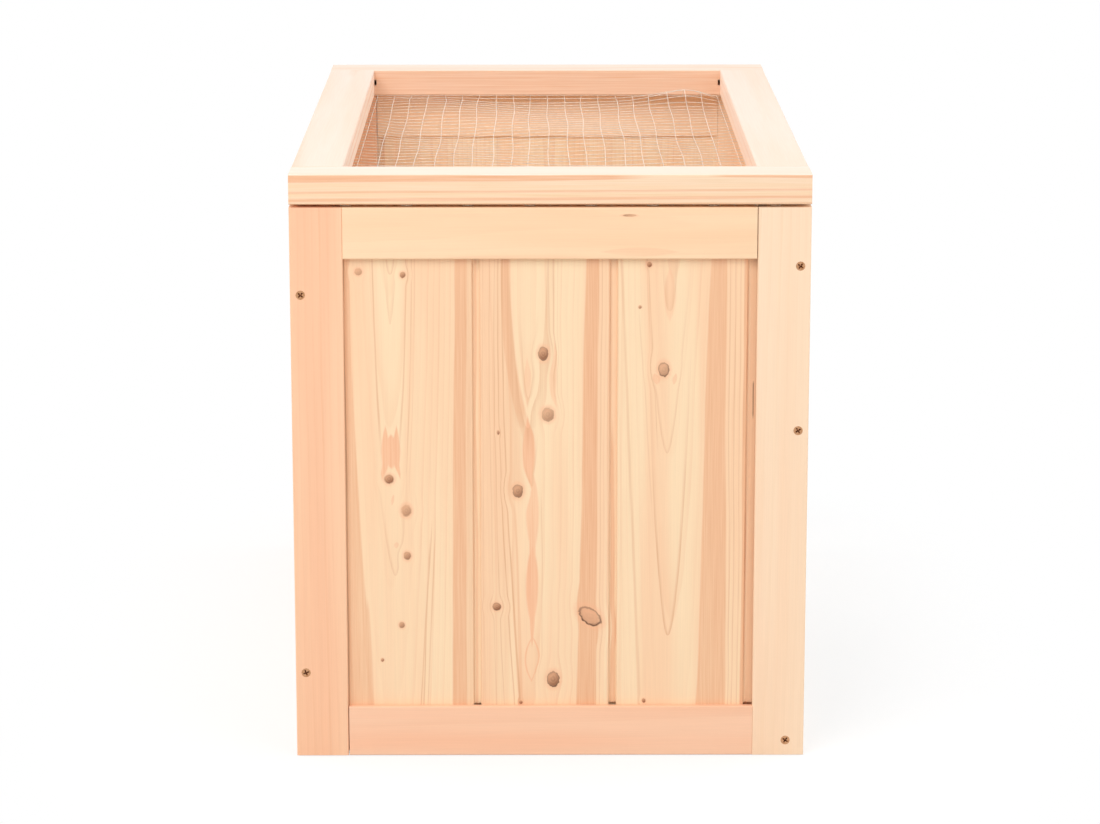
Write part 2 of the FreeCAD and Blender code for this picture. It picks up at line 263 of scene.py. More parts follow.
@dataclass(frozen=True)
class Arch:
    """One growth ring that the saw met at a slant: a pointed arch that opens upward.

    A negative thickness puts the soft side of the line outside the arch.
    """

    axis: float
    apex: float
    spread: float
    reach: float
    depth: float
    point: float = 0.4
    thick: float = 2.5


@dataclass(frozen=True)
class Flame:
    """Late wood that the saw only skimmed: a long spindle, filled or drawn as an outline."""

    axis: float
    middle: float
    wide: float
    high: float
    fill: float
    rim: float = 0.0


@dataclass(frozen=True)
class Cut:
    """How one stick was sawn from its log, which decides the figure that its faces show."""

    tint: Tint
    pith_across: float
    pith_deep: float
    climb: float
    ring: float
    phase: float = 0.0
    wander: float = 1.0
    contrast: float = 0.8
    seed: float = 1.0
    knots: tuple[Knot, ...] = ()
    streaks: tuple[Streak, ...] = ()
    lines: tuple[Streak, ...] = ()
    arches: tuple[Arch, ...] = ()
    flames: tuple[Flame, ...] = ()
    # Painted shadow lines where boards meet stiles, and the dark of cracks
    shadow_lines_and_cracks: tuple[Streak, ...] = ()


@dataclass(frozen=True)
class Lie:
    """Where a stick lies: across, along and through its grain, in millimetres from its middle."""

    middle: Vector
    turn: Euler
    rows: Matrix
    half: Vector

    @classmethod
    def of(cls, node: str, face: int | None = None) -> "Lie":
        """Reads a CAD node's box: the longest side is the grain and the thinnest the depth.

        Args:
            node: The CAD node's name.
            face: The axis that the shown face looks along, where that isn't the thinnest side.

        Returns:
            The node's lie.
        """
        low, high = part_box(node)
        size = high - low
        order = sorted(range(3), key=lambda axis: size[axis])
        along = order[2]
        deep = order[0] if face is None else face
        across = 3 - along - deep
        rows = Matrix([[float(col == axis) for col in range(3)] for axis in (across, along, deep)])
        if rows.determinant() < 0:
            rows[2].negate()
        half = Vector((size[across], size[along], size[deep])) / MM / 2
        return cls((low + high) / 2 / MM, rows.to_euler(), rows, half)

    @property
    def home(self) -> Vector:
        """The stick's middle in its own directions."""
        return self.rows @ self.middle

    def local(self, across: float, along: float) -> Pair:
        """Turns cage millimetres on the stick's shown face into millimetres from its middle."""
        return across - self.home[0], along - self.home[1]


@dataclass(frozen=True)
class KnotField:
    """What the shader knows of the knots at one point of the wood."""

    spot: Feed
    near: Feed
    heart: Feed
    bark: Feed
    bent: Socket


class Layer(Enum):
    """Keeps the noises of one stick apart, each with its own seed."""

    DRIFT = 0
    FIBRE = 3
    RAGGED = 5
    CLOUD = 7
    FADE = 11


@dataclass(frozen=True)
class PlanedFir:
    """Planed, unfinished fir.

    The planer leaves it matt with a faint sheen. Pale early wood and narrow warm late wood follow
    the growth rings, knots are brown and harder than the wood round them, and fine fibres run
    with the grain. Noises have their real size across and along the grain, and bands say which
    part of a noise, a ring or a knot's radius a change takes up.
    """

    roughness: float = 0.56
    rough_play: Pair = (-0.06, 0.08)
    ior: float = 1.5
    relief_mm: float = 0.05
    relief_share: float = 0.35
    late_relief: float = 0.6
    seed_step: Point = (7.3, 3.1, 5.9)
    drift_mm: Pair = (46.0, 190.0)
    drift_band: Pair = (0.25, 0.75)
    sway_mm: float = 1.3
    fibre_mm: Pair = (0.9, 70.0)
    fibre_band: Pair = (0.3, 0.7)
    shade_band: Pair = (0.3, 0.75)
    shade_ends: Pair = (1.0, 0.96)
    cloud_mm: Pair = (30.0, 600.0)
    cloud_band: Pair = (0.36, 0.66)
    cloud_ends: Pair = (0.0, 0.8)
    fade_mm: Pair = (40.0, 150.0)
    fade_band: Pair = (0.36, 0.64)
    fade_ends: Pair = (0.3, 1.0)
    late_rise: Pair = (0.55, 0.93)
    late_fall: Pair = (0.94, 1.0)
    early_share: float = 0.2
    year_power: float = 2.0
    year_ends: Pair = (0.15, 1.0)
    line: str = "#DCA37A"
    line_ends: Pair = (0.72, 1.08)
    line_tips: tuple[Pair, Pair] = ((0.0, 0.1), (1.0, 0.85))
    arch_height_mm: float = 100.0
    arch_edge_mm: Pair = (0.0, 0.9)
    arch_foot_mm: Pair = (-0.5, 0.5)
    arch_lead: float = 4.0
    arch_fade: float = 0.3
    flame: str = "#F4B68E"
    flame_band: Pair = (0.7, 1.1)
    flame_rim: Pair = (0.05, 0.2)
    # A painted shadow line where a board meets a stile, and a crack, take this dark colour
    seam: str = "#6E4326"
    ragged_mm: Pair = (3.6, 3.6)
    bend_band: Pair = (0.6, 4.2)
    # A knot's heart runs between these two, partly by its own rings and partly by painted light
    knot_light: str = "#CF9973"
    knot_dark: str = "#8A5433"
    knot_bark: str = "#552F13"
    knot_halo: str = "#F2B48C"
    halo_band: Pair = (1.0, 1.9)
    halo_ends: Pair = (0.55, 0.0)
    heart_band: Pair = (0.8, 1.1)
    heart_rings: float = 15.0
    heart_ring_share: float = 0.12
    # Painted light across a knot: bands for its lighter upper heart and its darker lower bark
    heart_upper: Pair = (-0.75, 0.6)
    painted_light_way: Point = (-0.45, 0.9, 0.0)
    bark_inner: Pair = (0.78, 1.0)
    bark_outer: Pair = (1.0, 1.16)
    bark_lower: Pair = (-0.8, 0.7)
    bark_ends: Pair = (0.95, 0.55)

    def material(self, name: str, lie: Lie, cut: Cut) -> Material:
        """Draws one stick's wood.

        Args:
            name: The material's name.
            lie: Where the stick lies.
            cut: How it was sawn.

        Returns:
            The material.
        """
        made, graph = blank(name)
        FirDrawing(graph.tree, self, lie, cut).draw()
        return made

    def dress(self, node: str, cut: Cut, face: int | None = None) -> None:
        """Gives a CAD node its own piece of this wood."""
        wear(node, self.material("fir_" + node, Lie.of(node, face), cut))


@dataclass
class FirDrawing(Graph):
    """One stick's wood on its node tree, in millimetres across, along and through the grain."""

    fir: PlanedFir
    lie: Lie
    cut: Cut

    def draw(self) -> None:
        """Joins the rings, the figure, the fibres and the knots into the stick's surface."""
        fir, cut = self.fir, self.cut
        spot = {"Location": tuple(-self.lie.home), "Rotation": tuple(self.lie.turn)}
        wood = self.put("Mapping", {"Vector": self.place(), **spot, "Scale": (1 / MM,) * 3})
        knots = self._knots(wood)
        drift = self._noise(wood, fir.drift_mm, Layer.DRIFT)
        fibre = self._noise(wood, fir.fibre_mm, Layer.FIBRE)
        cloud = self._noise(wood, fir.cloud_mm, Layer.CLOUD)
        late = self._rings(knots.bent, drift)
        pale, dark, blush = (linear(colour) for colour in cut.tint.value)
        colour = self.mix(self.fade(cloud, fir.cloud_band, fir.cloud_ends), pale, blush)
        colour = self.mix(self.times(late, cut.contrast), colour, dark)
        colour = self._figure(colour, knots.bent, drift, fibre)
        shade = self.ramp(fibre, fir.shade_band, fir.shade_ends)
        colour = self.mix(1.0, colour, shade, blend_type="MULTIPLY")
        if cut.knots:
            colour = self._knot_colours(colour, knots)
        smooth, coarse = (fir.roughness + play for play in fir.rough_play)
        rough = self.ramp(fibre, fir.fibre_band, (smooth, coarse))
        height = self.calc("MULTIPLY_ADD", late, fir.late_relief, fibre)
        relief = {"Strength": fir.relief_share, "Distance": fir.relief_mm * MM, "Height": height}
        normal = self.put("Bump", relief)
        looks = {"Base Color": colour, "Roughness": rough, "IOR": fir.ior, "Normal": normal}
        self.surface(self.put("BsdfPrincipled", looks))

    def _noise(self, wood: Feed, size_mm: Pair, layer: Layer, out: str = "Fac") -> Socket:
        """Gives soft noise whose lumps have a real size.

        Args:
            wood: Coordinates in millimetres.
            size_mm: The lumps' size across and along the grain.
            layer: Moves the pattern, with the stick's own seed, so that no two are alike.
            out: The output wanted, a value or a colour.

        Returns:
            Noise from zero to one.
        """
        seed = self.cut.seed + layer.value
        wide, long = size_mm
        moved = tuple(step * seed for step in self.fir.seed_step)
        scaled = self.vector("MULTIPLY_ADD", wood, (1 / wide, 1 / long, 1 / wide), moved)
        lumps = {"Vector": scaled, "Scale": 1.0, "Detail": 2.0, "Roughness": 0.5}
        return self.put("TexNoise", lumps, out)

    def _knots(self, wood: Socket, far: float = 9.0, through: float = 1e6) -> KnotField:
        """Finds the closest knot, with a ragged edge, and bends the grain round each knot.

        Args:
            wood: Coordinates in millimetres.
            far: How many knot radii count as out of reach.
            through: How deep a knot goes, which is right through the stick.

        Returns:
            Where the point lies in the closest knot, and the bent coordinates.
        """
        found = KnotField((far, far, 0.0), far, 0.0, 0.0, wood)
        if not self.cut.knots:
            return found
        lumps = self._noise(wood, self.fir.ragged_mm, Layer.RAGGED, "Color")
        ragged = self.vector("SUBTRACT", lumps, (0.5, 0.5, 0.5))
        for knot in self.cut.knots:
            feeds = {
                "Location": (*self.lie.local(knot.across, knot.along), 0.0),
                "Rotation": (0.0, 0.0, math.radians(knot.turn)),
                "Scale": (knot.wide / 2, knot.high / 2, through),
            }
            place = self.put("Mapping", {"Vector": wood, **feeds}, vector_type="TEXTURE")
            torn = self.vector("MULTIPLY_ADD", ragged, (knot.ragged, knot.ragged, 0.0), place)
            reach = self.vector("LENGTH", torn, out="Value")
            closer = self.calc("LESS_THAN", reach, found.near)
            hold = self.fade(reach, self.fir.bend_band, (knot.bend, 0.0))
            aside = self.vector("MULTIPLY", place, (-knot.wide / 2, 0.0, 0.0))
            found = KnotField(
                self.put("Mix", {0: closer, 4: found.spot, 5: torn}, 1, data_type="VECTOR"),
                self.calc("MINIMUM", found.near, reach),
                self.put("Mix", {0: closer, 2: found.heart, 3: knot.heart}, data_type="FLOAT"),
                self.put("Mix", {0: closer, 2: found.bark, 3: knot.bark}, data_type="FLOAT"),
                self.vector("MULTIPLY_ADD", aside, hold, found.bent),
            )
        return found

    def _rings(self, bent: Socket, drift: Feed) -> Socket:
        """Cuts the log's growth rings with the stick's faces.

        Args:
            bent: Coordinates in millimetres, bent round the knots.
            drift: Slow noise that lets the rings wander.

        Returns:
            How much late wood shows, from zero to one.
        """
        fir, cut = self.fir, self.cut
        slope = self.vector("MULTIPLY_ADD", self.split(bent)[1], (0.0, 0.0, -cut.climb), bent)
        pith = (-cut.pith_across, 0.0, -cut.pith_deep)
        spoke = self.vector("MULTIPLY_ADD", slope, (1.0, 0.0, 1.0), pith)
        radius = self.vector("LENGTH", spoke, out="Value")
        offset = self.ramp(drift, fir.drift_band, (-cut.wander, cut.wander), clamp=False)
        count = self.calc("MULTIPLY_ADD", self.calc("ADD", radius, offset), 1 / cut.ring, cut.phase)
        year, part = self.calc("FLOOR", count), self.calc("FRACT", count)
        rise = self.ramp(part, fir.late_rise, interpolation_type=Ease.SOFTER.value)
        fall = self.fade(part, fir.late_fall)
        number = self.calc("ADD", year, cut.seed)
        luck = self.put("TexWhiteNoise", {"W": number}, noise_dimensions="1D")
        strength = self.ramp(self.calc("POWER", luck, fir.year_power), (0.0, 1.0), fir.year_ends)
        fade = self.ramp(self._noise(bent, fir.fade_mm, Layer.FADE), fir.fade_band, fir.fade_ends)
        line = self.times(rise, self.times(strength, fade))
        return self.times(self.calc("MULTIPLY_ADD", part, fir.early_share, line), fall)

    def _figure(self, colour: Socket, bent: Socket, drift: Feed, fibre: Feed) -> Socket:
        """Lays a stick's own streaks, flames, lines, arches, painted shadow lines and cracks over
        its rings.

        Args:
            colour: The wood's colour so far.
            bent: Coordinates in millimetres, bent round the knots.
            drift: Slow noise that lets the edges wander.
            fibre: Fine noise that breaks the late wood into lines.

        Returns:
            The wood's colour with its figure and painted shadow lines.
        """
        fir, cut = self.fir, self.cut
        across, along, _ = self.split(bent)
        sway = self.ramp(drift, fir.drift_band, (-fir.sway_mm, fir.sway_mm), clamp=False)
        place = self.put("CombineXYZ", {0: self.calc("ADD", across, sway), 1: along})
        lines = self.ramp(fibre, fir.fibre_band, fir.line_ends)
        layers = (
            (self._streak, cut.streaks, cut.tint.value[1]),
            (self._flame, cut.flames, fir.flame),
            (self._streak, cut.lines, fir.line),
            (self._arch, cut.arches, fir.line),
            # Painted shadow lines and cracks, in one dark colour
            (self._streak, cut.shadow_lines_and_cracks, fir.seam),
        )
        for mask, marks, shade in layers:
            if marks:
                masks = [mask(place, mark) for mark in marks]
                most = reduce(lambda one, other: self.calc("MAXIMUM", one, other), masks)
                share = self.calc("MULTIPLY", most, lines, clamp=True)
                colour = self.mix(share, colour, linear(shade))
        return colour

    def _streak(self, place: Socket, streak: Streak) -> Socket:
        """Masks a stripe between two edges that may lean or bow.

        Args:
            place: Millimetres across and along the grain.
            streak: The stripe.

        Returns:
            The mask, from zero to the stripe's depth.
        """
        low, high = -self.lie.half[1], self.lie.half[1]
        if streak.span:
            low, high = (self.lie.local(0.0, end)[1] for end in streak.span)
        across, along, _ = self.split(place)
        down = self.ramp(along, (high, low))
        bowed = self.calc("POWER", down, streak.bow)
        mask: Feed = streak.depth
        for side, ends in enumerate(((0.0, 1.0), (1.0, 0.0))):
            top, foot = (self.lie.local(edges[side], 0.0)[0] for edges in (streak.top, streak.foot))
            level = self.calc("SUBTRACT", across, self.ramp(bowed, (0.0, 1.0), (top, foot)))
            mask = self.times(mask, self.fade(level, (-streak.soft, streak.soft), ends))
        for tip in self.fir.line_tips if streak.span else ():
            mask = self.times(mask, self.ramp(down, tip))
        return mask

    def _arch(self, place: Socket, arch: Arch) -> Socket:
        """Masks one ring's pointed arch, crisp on one side and soft on the other.

        Args:
            place: Millimetres across and along the grain.
            arch: The arch.

        Returns:
            The mask, from zero to the arch's depth.
        """
        fir = self.fir
        apex = (*self.lie.local(arch.axis, arch.apex), 0.0)
        across, along, _ = self.split(self.vector("SUBTRACT", place, apex))
        # Half the arch's width grows as a power of the height above its apex, never quite nothing
        above = self.calc("MAXIMUM", self.times(along, 1 / fir.arch_height_mm), 1e-4)
        half = self.times(self.calc("POWER", above, arch.point), -arch.spread)
        gap = self.calc("ADD", self.calc("ABSOLUTE", across), half)
        side = self.times(gap, math.copysign(1.0, arch.thick))
        # The line begins at the apex, or well below it where its soft side lies outside
        foot, whole = fir.arch_foot_mm
        start = foot if arch.thick > 0 else fir.arch_lead * arch.thick
        crisp = self.fade(side, fir.arch_edge_mm)
        soft = self.ramp(side, (-abs(arch.thick), 0.0))
        reach = self.ramp(along, (fir.arch_fade * arch.reach, arch.reach), (arch.depth, 0.0))
        return self.times(crisp, soft, reach, self.ramp(along, (start, whole)))

    def _flame(self, place: Socket, flame: Flame) -> Socket:
        """Masks a spindle, filled or outlined.

        Args:
            place: Millimetres across and along the grain.
            flame: The spindle.

        Returns:
            The mask.
        """
        middle = (*self.lie.local(flame.axis, flame.middle), 0.0)
        half = (flame.wide / 2, flame.high / 2, 1.0)
        feeds = {"Vector": place, "Location": middle, "Scale": half}
        across, along, _ = self.split(self.put("Mapping", feeds, vector_type="TEXTURE"))
        reach = self.calc("MULTIPLY_ADD", along, along, self.calc("ABSOLUTE", across))
        inside = self.fade(reach, self.fir.flame_band, (flame.fill, 0.0))
        away = self.calc("ABSOLUTE", self.calc("SUBTRACT", reach, 1.0))
        return self.calc("MAXIMUM", inside, self.fade(away, self.fir.flame_rim, (flame.rim, 0.0)))

    def _knot_colours(self, colour: Socket, knots: KnotField) -> Socket:
        """Lays the knots' halo, heart and dark bark over the wood, with painted light and shade on
        each knot.

        Args:
            colour: The wood's colour.
            knots: The closest knot.

        Returns:
            The wood's colour with its knots.
        """
        fir = self.fir
        halo = self.fade(knots.near, fir.halo_band, fir.halo_ends)
        colour = self.mix(halo, colour, linear(fir.knot_halo))
        # Painted light and shade: each knot is painted lighter at its upper left and darker along
        # its lower side
        painted_light = self.vector("DOT_PRODUCT", knots.spot, fir.painted_light_way, out="Value")
        wave = self.calc("SINE", self.times(knots.near, fir.heart_rings))
        upper = self.ramp(painted_light, fir.heart_upper)
        ringed = self.calc("MULTIPLY_ADD", wave, fir.heart_ring_share, upper, clamp=True)
        heart = self.mix(ringed, linear(fir.knot_dark), linear(fir.knot_light))
        body = self.fade(knots.near, fir.heart_band)
        colour = self.mix(self.times(body, knots.heart), colour, heart)
        outer = self.fade(knots.near, fir.bark_outer)
        inner = self.fade(knots.near, fir.bark_inner, (0.0, 1.0))
        # Painted shade: the bark ring darkens along the knot's lower side
        weight = self.times(knots.bark, self.ramp(painted_light, fir.bark_lower, fir.bark_ends))
        rim = self.times(outer, inner, weight)
        return self.mix(rim, colour, linear(fir.knot_bark))


@dataclass(frozen=True)
class BareMetal:
    """Plated or galvanised steel: bright, mottled by its coating, with a soft sheen."""

    name: str
    light: str
    shade: str
    roughness: float
    mottle_mm: float
    rough_play: Pair = (-0.07, 0.1)
    rough_band: Pair = (0.3, 0.7)
    shade_band: Pair = (0.35, 0.65)

    def material(self) -> Material:
        """Draws the metal, with mottling of a real size in its colour and its gloss.

        Returns:
            The material.
        """
        made, graph = blank(self.name)
        lumps = {"Scale": 1 / (self.mottle_mm * MM), "Detail": 3.0, "Roughness": 0.6}
        mottle = graph.put("TexNoise", {"Vector": graph.place(), **lumps})
        share = graph.ramp(mottle, self.shade_band)
        colour = graph.mix(share, linear(self.light), linear(self.shade))
        smooth, coarse = (self.roughness + play for play in self.rough_play)
        rough = graph.ramp(mottle, self.rough_band, (smooth, coarse))
        looks = {"Base Color": colour, "Metallic": 1.0, "Roughness": rough}
        graph.surface(graph.put("BsdfPrincipled", looks))
        return made


# Welded mesh, hot-dip galvanised: pale grey, a little frosted
GALVANISED = BareMetal("galvanised_wire", "#EFEAE4", "#DDD7D0", 0.74, 6.0)
# Screws, yellow-passivated zinc: bronze gold with a faint brown bloom
YELLOW_ZINC = BareMetal("yellow_zinc_screw", "#D0A07A", "#B98860", 0.4, 2.5)
# Hinges, bright zinc on pressed steel: cool grey, rolled smooth
BRIGHT_ZINC = BareMetal("zinc_hinge_steel", "#CFD1D3", "#A9ACAF", 0.3, 4.0)
# Staples, plain zinc wire dulled by the hammer: warm grey with no bright edge
DULL_ZINC = BareMetal("dull_staple_wire", "#C9BBA8", "#A89A88", 0.6, 3.0)


@dataclass(frozen=True)
class Acrylic:
    """Cast acrylic: clear and glossy as a sheet, milky where sanded, faintly hazed by hands."""

    name: str
    tint: str
    clear: float
    gloss: Pair
    ior: float = 1.49
    haze_mm: float = 60.0
    haze_band: Pair = (0.4, 0.7)

    def material(self) -> Material:
        """Draws the acrylic, its gloss dulled a little where hands have rubbed it.

        Returns:
            The material.
        """
        made, graph = blank(self.name)
        lumps = {"Scale": 1 / (self.haze_mm * MM), "Detail": 4.0}
        haze = graph.put("TexNoise", {"Vector": graph.place(), **lumps})
        rough = graph.ramp(haze, self.haze_band, self.gloss)
        looks = {"Base Color": linear(self.tint), "Roughness": rough, "IOR": self.ior}
        shader = graph.put("BsdfPrincipled", {"Transmission Weight": self.clear, **looks})
        # A thin clear sheet lets the lamps light what is behind it
        through = graph.put("BsdfTransparent", {"Color": (self.clear,) * 3 + (1.0,)})
        lamp = graph.put("LightPath", {}, "Is Shadow Ray")
        graph.surface(graph.put("MixShader", {0: lamp, 1: shader, 2: through}))
        return made


# Panes, cast sheet: clear with a trace of green, mirror smooth
CLEAR_SHEET = Acrylic("clear_acrylic", "#F4FAF8", 1.0, (0.01, 0.06))
# Pulls, the same acrylic sanded for grip: milky, with a satin sheen
SANDED_PULL = Acrylic("sanded_acrylic", "#F2F5F3", 0.25, (0.4, 0.55))
# Frames, boards and cleats, planed fir: pale cream and honey with brown knots
FIR = PlanedFir()
# The lid's rails are quarter sawn: their stripes hardly wander, and are warm rather than brown
STRAIGHT_FIR = replace(FIR, sway_mm=0.3, line="#EDA67A")
# The floor is birch plywood: the same pale wood with the broad figure of a peeled log
PLYWOOD = replace(FIR, drift_mm=(120.0, 190.0))


def sawn(
    node: str, tint: Tint, knots: int = 0, reach: Pair = (-0.85, 0.85), **changes: object
) -> Cut:
    """Makes up a believable cut for a stick whose figure isn't seen up close.

    Args:
        node: The stick's name, which also seeds the choice.
        tint: The stick's colours.
        knots: How many knots it has.
        reach: The part of its length that has them, from minus one to one.
        **changes: Fields of the cut that are known.

    Returns:
        The cut.
    """
    luck = random.Random(node)
    lie = Lie.of(node)
    placed = tuple(
        Knot(
            across=lie.home[0] + luck.uniform(-0.75, 0.75) * lie.half[0],
            along=lie.home[1] + luck.uniform(*reach) * lie.half[1],
            wide=luck.uniform(6, 12),
            high=luck.uniform(8, 15),
            heart=luck.uniform(0.5, 0.9),
        )
        for _ in range(knots)
    )
    made = Cut(
        tint,
        pith_across=luck.uniform(-0.5, 0.5) * lie.half[0],
        pith_deep=luck.choice((-1, 1)) * luck.uniform(32, 48),
        climb=luck.choice((-1, 1)) * luck.uniform(0.018, 0.034),
        ring=luck.uniform(3.8, 5.0),
        phase=luck.random(),
        wander=luck.uniform(0.8, 1.6),
        seed=luck.uniform(1, 40),
        knots=placed,
    )
    return replace(made, **changes)


@dataclass
class NearPanel:
    """The end panel that faces the camera: stiles, rails and three boards with their own figure."""

    left_board: Cut = Cut(
        Tint.HONEY,
        pith_across=-21.0,
        pith_deep=-36.0,
        climb=0.031,
        ring=4.4,
        phase=0.12,
        wander=0.9,
        contrast=0.34,
        seed=2.0,
        knots=(
            Knot(-184.5, 484.6, 6.5, 6.5, 0.5),
            Knot(-141.8, 481.6, 5.5, 6.0, 0.9),
            Knot(-156.8, 279.5, 9.0, 9.0, 0.95),
            Knot(-140.3, 247.8, 9.5, 11.5, 0.62, 0.15),
            Knot(-139.8, 202.2, 7.0, 8.0, 0.8),
            Knot(-145.7, 131.8, 5.5, 6.0, 0.8),
            Knot(-165.1, 96.1, 3.0, 3.5, 0.9),
        ),
        streaks=(
            Streak((-205.0, -192.3), (-205.0, -172.8), 0.62, bow=2.0),
            Streak((-182.0, -179.0), (-177.0, -172.4), 0.6, span=(30.0, 160.0)),
            Streak((-91.5, -80.0), (-96.3, -81.8), 0.85),
            Streak((-81.0, -74.0), (-82.6, -74.0), 0.45),
            Line((-73.2, -70.8), (-73.2, -70.8), 0.6),
        ),
        lines=(
            Line((-171.9, -170.9), (-164.6, -162.4), 0.5, span=(304.0, 560.0), bow=1.9),
            Line((-139.0, -138.0), (-147.4, -145.2), 0.5, span=(304.0, 560.0), bow=2.2),
            Line((-132.8, -131.8), (-140.4, -139.4), 0.42, span=(255.0, 540.0), bow=1.3),
            Line((-129.6, -128.8), (-137.2, -136.4), 0.3, span=(255.0, 540.0), bow=1.3),
            Line((-115.6, -114.6), (-129.8, -128.8), 0.6, span=(20.0, 240.0)),
            Line((-118.4, -117.2), (-126.4, -125.2), 0.6, span=(20.0, 220.0)),
            Line((-112.8, -111.8), (-122.6, -121.6), 0.44, span=(20.0, 230.0)),
        ),
        arches=(
            Arch(-154.4, 433.0, 9.0, 80.0, 0.3, point=0.75, thick=3.5),
            Arch(-154.4, 482.0, 8.0, 40.0, 0.5, thick=2.0),
            Arch(-152.0, 182.0, 15.0, 110.0, 0.36, point=0.6, thick=2.4),
        ),
        flames=(
            Flame(-159.6, 306.0, 8.0, 56.0, 0.85),
            Flame(-148.8, 306.0, 8.0, 56.0, 0.85),
            Flame(-154.2, 307.0, 20.0, 36.0, 0.85),
            Flame(-152.0, 258.6, 4.0, 12.0, 0.5),
            Flame(-150.0, 213.0, 6.0, 7.0, 0.4),
        ),
        # Painted shadow: a thin dark line along the board's edge at the left stile
        shadow_lines_and_cracks=(Streak((-205.0, -197.8), (-205.0, -197.8), 0.4, soft=0.4),),
    )
    middle_board: Cut = Cut(
        Tint.HONEY,
        pith_across=-21.0,
        pith_deep=-37.0,
        climb=0.008,
        ring=4.2,
        phase=0.3,
        wander=1.5,
        contrast=0.36,
        seed=5.0,
        knots=(
            Knot(-6.8, 404.3, 9.0, 13.0, 0.9, 0.8),
            Knot(-2.4, 343.9, 11.0, 12.5, 0.62, 0.45),
            Knot(-31.6, 267.6, 9.5, 12.5, 0.8, 0.75),
            Knot(-52.4, 150.6, 8.0, 7.5, 1.0, 0.8),
            Knot(2.9, 76.3, 11.4, 15.0, 0.9, 0.95),
            Knot(-50.5, 326.0, 2.5, 4.0, 0.9),
            Knot(38.8, 140.7, 23.5, 14.5, 0.3, 1.0, -38.0, 0.14),
            Knot(-29.1, 52.5, 3.5, 3.5, 1.0),
        ),
        streaks=(
            Streak((-70.0, -39.3), (-70.0, -40.0), 0.17),
            Streak((-48.5, -38.8), (-23.5, -12.4), 0.68, span=(312.0, 540.0), bow=3.3, soft=1.4),
            Streak((-44.0, -32.0), (-38.5, -27.0), 0.36, span=(250.0, 400.0), soft=3.0),
            Streak((-35.0, -33.4), (-29.0, -25.6), 0.5, span=(30.0, 262.0), soft=0.8),
            Streak((35.2, 47.2), (25.6, 44.6), 0.9),
            Streak((55.4, 57.4), (55.4, 57.4), 0.45, soft=0.6),
            Streak((59.6, 62.0), (58.4, 64.4), 0.8, span=(0.0, 340.0), bow=0.7, soft=0.8),
        ),
        lines=(
            Line((-47.0, -46.0), (-29.0, -27.2), 0.66, bow=2.0),
            Line((-51.2, -50.2), (-34.0, -32.8), 0.62, bow=2.2),
            Line((-54.6, -53.8), (-45.0, -44.2), 0.5, bow=2.0),
            Line((-59.5, -58.7), (-53.0, -52.2), 0.4, bow=1.5),
            Line((-66.0, -65.2), (-64.0, -63.2), 0.26),
            Line((-2.6, -1.4), (-1.8, -0.4), 0.36, span=(395.0, 515.0)),
            Line((2.4, 4.0), (2.6, 3.8), 0.4, span=(355.0, 515.0)),
            Line((7.4, 8.2), (6.0, 6.8), 0.3, span=(335.0, 515.0)),
            Line((-9.4, -8.6), (-8.4, -7.6), 0.34, span=(60.0, 270.0)),
            Line((49.4, 50.4), (47.6, 48.6), 0.42),
        ),
        arches=(
            Arch(-21.4, 330.0, 15.5, 240.0, 0.42, point=0.49, thick=-9.0),
            Arch(-21.4, 360.0, 9.0, 90.0, 0.4, point=0.5, thick=-3.0),
            Arch(-20.0, 272.0, 11.0, 60.0, 0.3, point=0.5, thick=2.5),
        ),
        flames=(
            Flame(-22.0, 376.0, 8.0, 52.0, 0.4),
            Flame(2.2, 383.5, 8.0, 70.0, 0.45),
            Flame(-20.8, 305.0, 13.5, 78.0, 0.85),
            Flame(-17.4, 245.0, 13.5, 90.0, 0.64),
            Flame(-18.0, 172.0, 13.0, 92.0, 0.85),
            Flame(-17.8, 208.0, 6.4, 110.0, 0.72),
            Flame(-17.8, 142.0, 5.6, 70.0, 0.75),
            Flame(-17.5, 97.0, 13.6, 45.0, 0.05, 0.7),
        ),
    )
